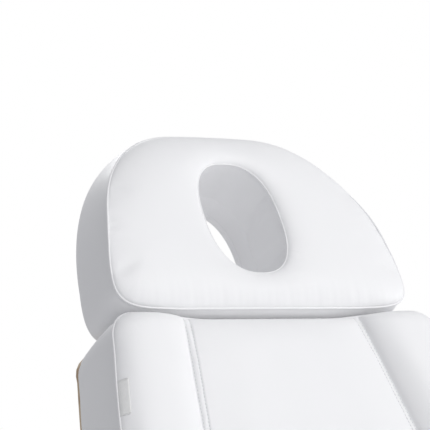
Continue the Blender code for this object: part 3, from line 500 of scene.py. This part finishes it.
def grid_panel(name, half_width, y_start, y_end, seam_x, heights, matrix, node):
    """Seat, back or leg cover: two side bolsters and a lower centre panel between sewn seams.

    half_width and seam_x give x as functions of y.
    """
    side_seam, end_seam, valley, crown, centre = heights
    edge = np.array([0, 0.0007, 0.0022, 0.0045, 0.0080, 0.0125, 0.0185, 0.0265])
    middle = np.linspace(y_start + 0.036, y_end - 0.036, 46)
    ys = np.concatenate([y_start + edge, middle, (y_end - edge)[::-1]])
    outer_steps = np.array([0, 0.004, 0.015, 0.035, 0.07, 0.12, 0.18, 0.25, 0.34, 0.44, 0.55, 0.66, 0.76,
                            0.85, 0.92, 0.97, 1])
    near_seam = np.array([0, 0.0012, 0.0026, 0.0040, 0.0065, 0.0092, 0.0104, 0.0116, 0.0145, 0.020])
    band = near_seam[-1]
    xs = []
    for y in ys:
        w = half_width(y)
        s = min(seam_x(y), w * MOST_SEAM)
        left = -w + (w - s) * outer_steps
        inner = np.concatenate([near_seam - s, np.linspace(band - s, s - band, 17)[1:-1],
                                (s - near_seam)[::-1]])
        xs.append(np.concatenate([left[:-1], inner, (-left[:-1])[::-1]]))
    xs = np.array(xs)
    rows, columns = xs.shape
    seam_columns = (len(outer_steps) - 1, columns - len(outer_steps))
    grid_y = np.repeat(ys[:, None], columns, 1)
    w = np.abs(xs[:, :1])
    s = np.abs(xs[:, seam_columns[0]])[:, None]
    wide = np.abs(xs)
    t = np.clip((wide - s) / (w - s), 0, 1)
    arch = np.clip(4 * t * (1 - t), 0, 1) ** 0.5
    flat = valley + (side_seam - valley) * t
    bolster_z = flat + (crown - (side_seam + valley) / 2) * arch
    past_stitches = np.maximum(s - wide - STITCH_ROWS[1], 0)
    centre_z = valley + (centre - valley) * quarter(past_stitches, CENTRE_RISE, 2.0)
    height = np.where(wide > s - 1e-6, bolster_z, centre_z)
    end_z = end_seam + (side_seam - end_seam) * smooth_step(wide, 0.10, 0.235)
    end = np.minimum(grid_y - y_start, y_end - grid_y)
    height = end_z + (height - end_z) * quarter(end, END_RISE)
    top = np.stack([xs, grid_y, height], -1).reshape(-1, 3)

    index = np.arange(rows * columns).reshape(rows, columns)
    faces = [(index[r, c], index[r, c + 1], index[r + 1, c + 1], index[r + 1, c])
             for r in range(rows - 1) for c in range(columns - 1)]
    rim = np.concatenate([index[0, :-1], index[:-1, -1], index[-1, :0:-1], index[:0:-1, 0]])
    piece = close_cover(name, top, faces, [rim], matrix, node,
                        pins=[*index[:, seam_columns[0]], *index[:, seam_columns[1]]])
    return piece, top[rim]


def close_cover(name, top, faces, rims, matrix, node, pins=(), rear=None, tuck_in=0.001):
    """Add side walls and a base to a cover's top, inflate it between its seams and refine it.

    rear: the outer loop at the board, where it differs from the front one. The outer wall is folded over
    the board's edge and goes back up tuck_in further in.
    """
    vertices = [top]
    total = len(top)
    pinned = list(pins)
    base_rings = []
    levels = [0.018, 0.05, 0.10, 0.2, 0.36, 0.54, 0.72, 0.88, 1.0]
    for k, rim in enumerate(rims):
        pinned += [int(i) for i in rim]
        loop = top[rim][:, :2]
        target = rear if k == 0 and rear is not None else loop
        normal = outward(loop) * (1 if k == 0 else -1)
        bottom = WRAP_DEPTH if k == 0 else BOARD_TOP
        start_z = top[rim][:, 2]
        rings = []
        for level in levels:
            bulge = (WALL_BULGE if k == 0 else -0.0020) * math.sin(math.pi * level) ** 0.8
            bulge -= SEAM_TUCK * math.exp(-((level - 0.05) / 0.05) ** 2)
            place = loop + (target - loop) * level + normal * bulge
            rings.append(np.column_stack([place, start_z + (bottom - start_z) * level]))
        if k == 0:
            inside = target - outward(target) * tuck_in
            lip = target - outward(target) * 0.0003
            rings[-1] = np.column_stack([target, np.full(len(rim), bottom + 0.0006)])
            rings.append(np.column_stack([lip, np.full(len(rim), bottom)]))
            rings.append(np.column_stack([inside, np.full(len(rim), bottom)]))
            rings.append(np.column_stack([inside, np.full(len(rim), BOARD_TOP)]))
        previous = np.asarray(rim)
        for ring_points in rings:
            vertices.append(ring_points)
            ring = np.arange(total, total + len(rim))
            total += len(rim)
            faces += list(zip(previous, np.roll(previous, -1), np.roll(ring, -1), ring))
            previous = ring
            if ring_points[0, 2] < BOARD_TOP + 0.001:
                pinned += [int(i) for i in ring]
        base_rings.append(previous)
    if len(rims) == 1:
        vertices.append(np.array([[0, top[:, 1].mean(), BOARD_TOP]]))
        faces += [(a, b, total) for a, b in zip(base_rings[0], np.roll(base_rings[0], -1))]
    else:
        outer, inner = base_rings
        faces += list(zip(outer, np.roll(outer, -1), np.roll(inner, -1), inner))
    world = [matrix @ Vector(p) for p in np.vstack(vertices)]
    piece = make_object(name, world, [tuple(int(i) for i in f) for f in faces], VINYL, None)
    settle(piece, sorted(set(pinned)))
    subdivide(piece, 2)
    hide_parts(node)
    return piece


def pucker(piece, matrix, seam_paths, depth=0.0, reach=0.0035, spread=0.016, lowest=0.085):
    """Draw the cover's top in along its seams: a groove and soft uneven gathers beside it."""
    inverse = np.array(matrix.inverted())
    forward = np.array(matrix)
    points = coordinates(piece)
    local = points @ inverse[:3, :3].T + inverse[:3, 3]
    on_top = local[:, 2] > lowest
    for path in seam_paths:
        path = np.asarray(path, float)
        along = np.concatenate([[0], np.cumsum(np.linalg.norm(np.diff(path, axis=0), axis=1))])
        best = np.full(len(local), 1e9)
        where = np.zeros(len(local))
        for i in range(len(path) - 1):
            a, b = path[i], path[i + 1]
            run = b - a
            t = np.clip(((local[:, :2] - a) @ run) / (run @ run), 0, 1)
            distance = np.linalg.norm(local[:, :2] - (a + t[:, None] * run), axis=1)
            closer = distance < best
            best = np.where(closer, distance, best)
            where = np.where(closer, along[i] + t * (along[i + 1] - along[i]), where)
        wave = (np.sin(where * 2 * math.pi / 0.041 + 1.3) + 0.8 * np.sin(where * 2 * math.pi / 0.0233)
                + 0.4 * np.sin(where * 2 * math.pi / 0.0127 + 2.1))
        groove = -depth * np.exp(-(best / reach) ** 2)
        gather = 0.00018 * wave * np.exp(-best / spread) * (1 - np.exp(-best / 0.003))
        local[:, 2] += np.where(on_top, groove + gather, 0)
    set_coordinates(piece, local @ forward[:3, :3].T + forward[:3, 3])


def to_row(points, matrix):
    return np.array([matrix @ Vector(p) for p in points])


def surface_height(piece, matrix, points, lift):
    """Put (x, y) panel points on a cover's top, lifted off it a little."""
    inverse = matrix.inverted()
    down = matrix.to_3x3() @ Vector((0, 0, -1))
    result = []
    for x, y in points:
        start = matrix @ Vector((x, y, 0.25))
        hit, place, _normal, _face = piece.ray_cast(start, down)
        result.append((x, y, (inverse @ place).z + lift if hit else HEAD_SEAM))
    return np.array(result)


def rounded_width(side, y_start, y_end, start_round, end_round):
    """Half width with corners rounded at both ends."""
    def half_width(y):
        w = side(y)
        for gap, radius in ((y - y_start, start_round), (y_end - y, end_round)):
            if gap < radius:
                w -= radius - math.sqrt(max(radius ** 2 - (radius - gap) ** 2, 0))
        return w
    return half_width


def finish_panel(label, piece, rim, half_width, y_start, y_end, seam_x, matrix, body):
    """Piping round the front seam, pulled-in centre seams and two stitch rows beside each of them."""
    seam_y = np.linspace(y_start + 0.004, y_end - 0.004, 60)
    seams = [(sign, np.array([(sign * min(seam_x(y), half_width(y) * MOST_SEAM), y) for y in seam_y]))
             for sign in (-1, 1)]
    pucker(piece, matrix, [seam for _sign, seam in seams], depth=0.0016, reach=0.0028)
    lines = [seam - [sign * offset, 0] for sign, seam in seams for offset in STITCH_ROWS]
    pucker(piece, matrix, lines, depth=0.0007, reach=0.0014, spread=0.004)
    pucker(piece, matrix, [np.vstack([rim[:, :2], rim[:1, :2]])], spread=0.022)
    loop = resample(rim, 420)
    loop[:, :2] += outward(loop[:, :2]) * 0.0002
    loop[:, 2] += 0.0004
    tube(label + "_piping", to_row(loop, matrix), PIPING, body)
    rows = []
    for sign, seam in seams:
        for offset in STITCH_ROWS:
            line = seam[(seam[:, 1] > y_start + 0.006) & (seam[:, 1] < y_end - 0.006)]
            rows.append(surface_height(piece, matrix, line - [sign * offset, 0], 0.0003))
    stitches(label + "_stitching", rows, body, matrix)
    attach(piece, body)


def build_back():
    low, high = local_box("back_cushion", BACK)
    side_curve = smooth_through(BACK_SIDE)
    side = lambda y: float(np.interp(y, side_curve[:, 0], side_curve[:, 1]))
    y_start, y_end = low[1] + HINGE_EASE, high[1] - TOP_EASE
    half_width = rounded_width(side, y_start, y_end, PANEL_ROUND, BACK_CORNER)
    seam_x = lambda y: min(BACK_SEAM_TOP + BACK_SEAM_SLOPE * (y_end - y), SEAM_X)
    piece, rim = grid_panel("back_upholstery", half_width, y_start, y_end, seam_x,
                            BACK_HEIGHTS, BACK, "back_cushion")
    finish_panel("back", piece, rim, half_width, y_start, y_end, seam_x, BACK, "back")
    return piece, half_width


def build_seat_and_leg():
    for label, node, matrix, body in (("seat", "seat_cushion", SEAT, "seat"),
                                      ("leg", "leg_cushion", LEG, "leg")):
        low, high = local_box(node, matrix)
        high[1] -= HINGE_EASE if label == "seat" else 0.0
        far_round = FOOT_ROUND if label == "leg" else PANEL_ROUND
        half_width = rounded_width(lambda y: float(high[0]), low[1], high[1], far_round, PANEL_ROUND)
        seam_x = lambda y: SEAM_X
        piece, rim = grid_panel(label + "_upholstery", half_width, low[1], high[1], seam_x,
                                PAD_HEIGHTS, matrix, node)
        finish_panel(label, piece, rim, half_width, low[1], high[1], seam_x, matrix, body)


def superellipse(half_x, half_y, power, angles):
    """Points of a superellipse met by rays at these polar angles."""
    c, s = np.cos(angles), np.sin(angles)
    radius = (np.abs(c / half_x) ** power + np.abs(s / half_y) ** power) ** (-1 / power)
    return np.column_stack([radius * c, radius * s])


def head_rear(point, start, rear_length):
    """Where a point of the headrest's front outline ends up on its taller and narrower rear one."""
    x, y = point
    t = (y - start) / HEAD_LENGTH
    low = REAR_HALF * (abs(x) / HEAD_WIDEST) ** 0.6
    high = REAR_HALF * max(1 - t ** REAR_POWER, 0) ** (1 / REAR_POWER)
    half = low + (high - low) * min(max((t - 0.08) / 0.16, 0), 1)
    return (math.copysign(half, x), start - REAR_DROP + t * rear_length)


def build_head():
    low, high = local_box("head_cushion", BACK)
    start = low[1] + REAR_DROP
    centre = np.array([0.0, start + HOLE_FROM_EDGE])
    right = smooth_through(HEAD_EDGE, 6) + [0, start]
    outline = resample(np.vstack([right, right[-2::-1] * [-1, 1]]), 200)
    rear = np.array([head_rear(p, start, high[1] - low[1]) for p in outline])
    polar = np.arctan2(outline[:, 1] - centre[1], outline[:, 0])
    inner = superellipse(HOLE_HALF_X, HOLE_HALF_Y, HOLE_POWER, polar) + centre
    steps = np.concatenate([[0, 0.015, 0.045], np.linspace(0.09, 0.9, 15), [0.945, 0.975, 0.99, 1.0]])
    rings = np.array([inner + (outline - inner) * t for t in steps])
    reach = np.linalg.norm(outline - inner, axis=1)
    to_edge = np.array([reach * (1 - t) for t in steps])
    to_hole = np.array([reach * t for t in steps])
    bow = smooth_through(HEAD_BOW)
    seam_z = np.interp((outline[:, 1] - start) / HEAD_LENGTH, bow[:, 0], bow[:, 1])
    height = HEAD_FACE - (HEAD_FACE - seam_z) * (1 - quarter(to_edge, HEAD_RISE, 2.0))
    height -= (HEAD_FACE - HOLE_RIM) * (1 - quarter(to_hole, HOLE_RISE, 2.0))
    top = np.concatenate([rings, (HEAD_SEAM + height)[..., None]], 2).reshape(-1, 3)
    count = len(outline)
    index = np.arange(len(steps) * count).reshape(len(steps), count)
    faces = []
    for ring in range(len(steps) - 1):
        for i in range(count):
            j = (i + 1) % count
            faces.append((index[ring, i], index[ring + 1, i], index[ring + 1, j], index[ring, j]))
    piece = close_cover("head_upholstery", top, faces, [index[-1], index[0]], BACK, "head_cushion",
                        rear=rear, tuck_in=0.006)
    pucker(piece, BACK, [np.vstack([outline, outline[:1]])], spread=0.020)
    pucker(piece, BACK, [np.vstack([inner, inner[:1]])], spread=0.012)
    rim = top[index[-1]] + [0, 0, 0.0004]
    tube("head_piping", to_row(rim, BACK), PIPING, "headrest")
    tube("hole_piping", to_row(top[index[0]] + [0, 0, 0.0002], BACK), PIPING * 0.85, "headrest")
    build_hole_liner(inner, centre)
    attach(piece, "headrest")


def build_hole_liner(inner, centre):
    """Vinyl sleeve from the hole's wall through the board to the collar's end, where it is hemmed."""
    back = local_box("head_hole_collar", BACK)[0][2]
    # (height above the board's underside, distance inside the hole's outline)
    inside = [(0.0300, -0.0016), (0.0250, -0.0004), (0.0200, 0.0006), (0.0150, 0.0010), (0.0100, 0.0011),
              (0.0020, 0.0011), (back + 0.0125, 0.0011), (back + 0.0112, 0.0005), (back + 0.0100, 0.0012),
              (back + 0.0085, 0.0018), (back + 0.0030, 0.0020), (back + 0.0004, 0.0016)]
    outside = [(back - 0.0011, 0.0004), (back - 0.0014, -0.0020), (back - 0.0011, -0.0042),
               (back + 0.0006, -0.0052), (back + 0.0060, -0.0053), (-0.0012, -0.0053), (-0.0012, -0.0045)]
    ring_back = [(back + 0.0004, -0.0044), (back - 0.0002, -0.0040), (back - 0.0002, -0.0002),
                 (back + 0.0004, 0.0002), (0.0150, 0.0002), (0.0200, -0.0006), (0.0280, -0.0026)]
    levels = inside + outside + ring_back
    count = len(inner)
    ray = inner - centre
    length = np.linalg.norm(ray, axis=1)[:, None]
    ripple = np.array([math.sin(i * 0.9) + 0.6 * math.sin(i * 2.3 + 1) for i in range(count)])
    rings = []
    for z, inset in levels:
        gather = 0.00022 * ripple if back + 0.002 < z < back + 0.012 and inset > 0.0008 else 0 * ripple
        place = centre + ray * (1 - (inset + gather[:, None]) / length)
        rings.append(np.column_stack([place, np.full(count, z)]))
    vertices = to_row(np.vstack(rings), BACK)
    faces = []
    for ring in range(len(levels)):
        nxt = (ring + 1) % len(levels)
        for i in range(count):
            j = (i + 1) % count
            faces.append((ring * count + i, ring * count + j, nxt * count + j, nxt * count + i))
    liner = make_object("hole_liner", vertices, faces, VINYL, "headrest")
    subdivide(liner)
    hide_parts("head_hole_collar")


def build_tag(cover, half_width):
    """Blank ribbon tag, folded over and sewn into the left front seam of the back."""
    start_y, width, reach, thickness = TAG_PLACE
    across, along = 9, 13
    vertices = []
    for face_side in (0, 1):
        for i in range(across):
            for j in range(along):
                u, v = i / (across - 1), j / (along - 1)
                y = start_y + width * (v - 0.5)
                x = -half_width(y) + 0.0005 + reach * u
                z = float(surface_height(cover, BACK, [(x, y)], 0.0)[0][2])
                lift = 0.0006 + 0.0007 * u * u + 0.0002 * math.sin(5 * v + 2 * u)
                vertices.append(BACK @ Vector((x, y, z + lift + thickness * face_side)))
    faces = []
    layer = across * along
    for i in range(across - 1):
        for j in range(along - 1):
            a = i * along + j
            faces.append((a, a + 1, a + along + 1, a + along))
            faces.append((layer + a, layer + a + along, layer + a + along + 1, layer + a + 1))
    edge = ([i * along for i in range(across)] + [(across - 1) * along + j for j in range(1, along)]
            + [i * along + along - 1 for i in range(across - 2, -1, -1)] + list(range(along - 2, 0, -1)))
    for a, b in zip(edge, edge[1:] + edge[:1]):
        faces.append((a, b, layer + b, layer + a))
    make_object("blank_tag", vertices, faces, TAG, "back")


# ---------------------------------------------------------------- camera, lights and floor


def build_camera():
    """The photograph's view: a long lens, seen from the bed's foot end and left, slightly from below."""
    anchor = BACK @ Vector((0, local_box("head_cushion", BACK)[0][1] + REAR_DROP, HEAD_SEAM))
    c, s = math.cos(CAMERA_TURN), math.sin(CAMERA_TURN)
    right = Vector((c, -s, 0))
    ahead = Vector((s * math.cos(CAMERA_PITCH), c * math.cos(CAMERA_PITCH), -math.sin(CAMERA_PITCH)))
    up = right.cross(ahead)
    data = bpy.data.cameras.new("camera")
    data.sensor_width = 36.0
    data.lens = LENS_RATIO * data.sensor_width
    data.clip_end = 100.0
    camera = bpy.data.objects.new("camera", data)
    bpy.context.scene.collection.objects.link(camera)
    camera.location = anchor + right * CAMERA_RIGHT + up * CAMERA_UP - ahead * CAMERA_DISTANCE
    camera.rotation_euler = Matrix((right, up, -ahead)).transposed().to_euler()
    bpy.context.scene.camera = camera


def area_light(name, place, target, size, power, colour=(1, 1, 1)):
    data = bpy.data.lights.new(name, "AREA")
    data.shape = "DISK"
    data.size = size
    data.energy = power
    data.color = colour
    lamp = bpy.data.objects.new(name, data)
    bpy.context.scene.collection.objects.link(lamp)
    lamp.location = place
    lamp.rotation_euler = (Vector(target) - Vector(place)).to_track_quat("-Z", "Y").to_euler()


def build_studio():
    scene = bpy.context.scene
    scene.view_settings.view_transform = "Standard"
    world = bpy.data.worlds.new("studio")
    scene.world = world
    world.use_nodes = True
    tree = world.node_tree
    plain = tree.nodes["Background"]
    plain.inputs["Color"].default_value = (0.955, 0.965, 1.0, 1)
    plain.inputs["Strength"].default_value = AMBIENT
    seen = tree.nodes.new("ShaderNodeBackground")
    seen.inputs["Color"].default_value = (1, 1, 1, 1)
    rays = tree.nodes.new("ShaderNodeLightPath")
    blend = tree.nodes.new("ShaderNodeMixShader")
    tree.links.new(rays.outputs["Is Camera Ray"], blend.inputs["Fac"])
    tree.links.new(plain.outputs["Background"], blend.inputs[1])
    tree.links.new(seen.outputs["Background"], blend.inputs[2])
    tree.links.new(blend.outputs["Shader"], tree.nodes["World Output"].inputs["Surface"])

    area_light("key", (2.8, -4.2, 6.5), (0, 0.3, 1.0), 3.6, KEY_POWER, (1.0, 0.995, 0.985))
    area_light("side", (5.5, -2.4, 2.4), (0, 0.3, 1.0), 2.6, SIDE_POWER)
    area_light("low_fill", (0.4, -5.0, 0.5), (0, 0.2, 1.0), 2.4, FILL_POWER)
    area_light("rear_fill", (1.2, 6.0, 4.5), (0, 0, 0.8), 3.2, BACK_POWER)

    n = Nodes("pale_floor", (0.82, 0.82, 0.83), 0.95)
    n.shader.inputs["Specular IOR Level"].default_value = 0.1
    n.colour(n.ramp(n.noise(0.8, 3.0), [(0.3, (0.81, 0.81, 0.82)), (0.7, (0.84, 0.84, 0.85))]))
    mesh = bpy.data.meshes.new("floor")
    work = bmesh.new()
    bmesh.ops.create_circle(work, cap_ends=True, radius=16.0, segments=96)
    work.to_mesh(mesh)
    work.free()
    mesh.materials.append(n.material)
    floor = bpy.data.objects.new("floor", mesh)
    scene.collection.objects.link(floor)
    floor.location.z = -0.0005


build_camera()
build_studio()
dress_cad_nodes()
build_head()
back_cover, back_half_width = build_back()
build_seat_and_leg()
build_tag(back_cover, back_half_width)
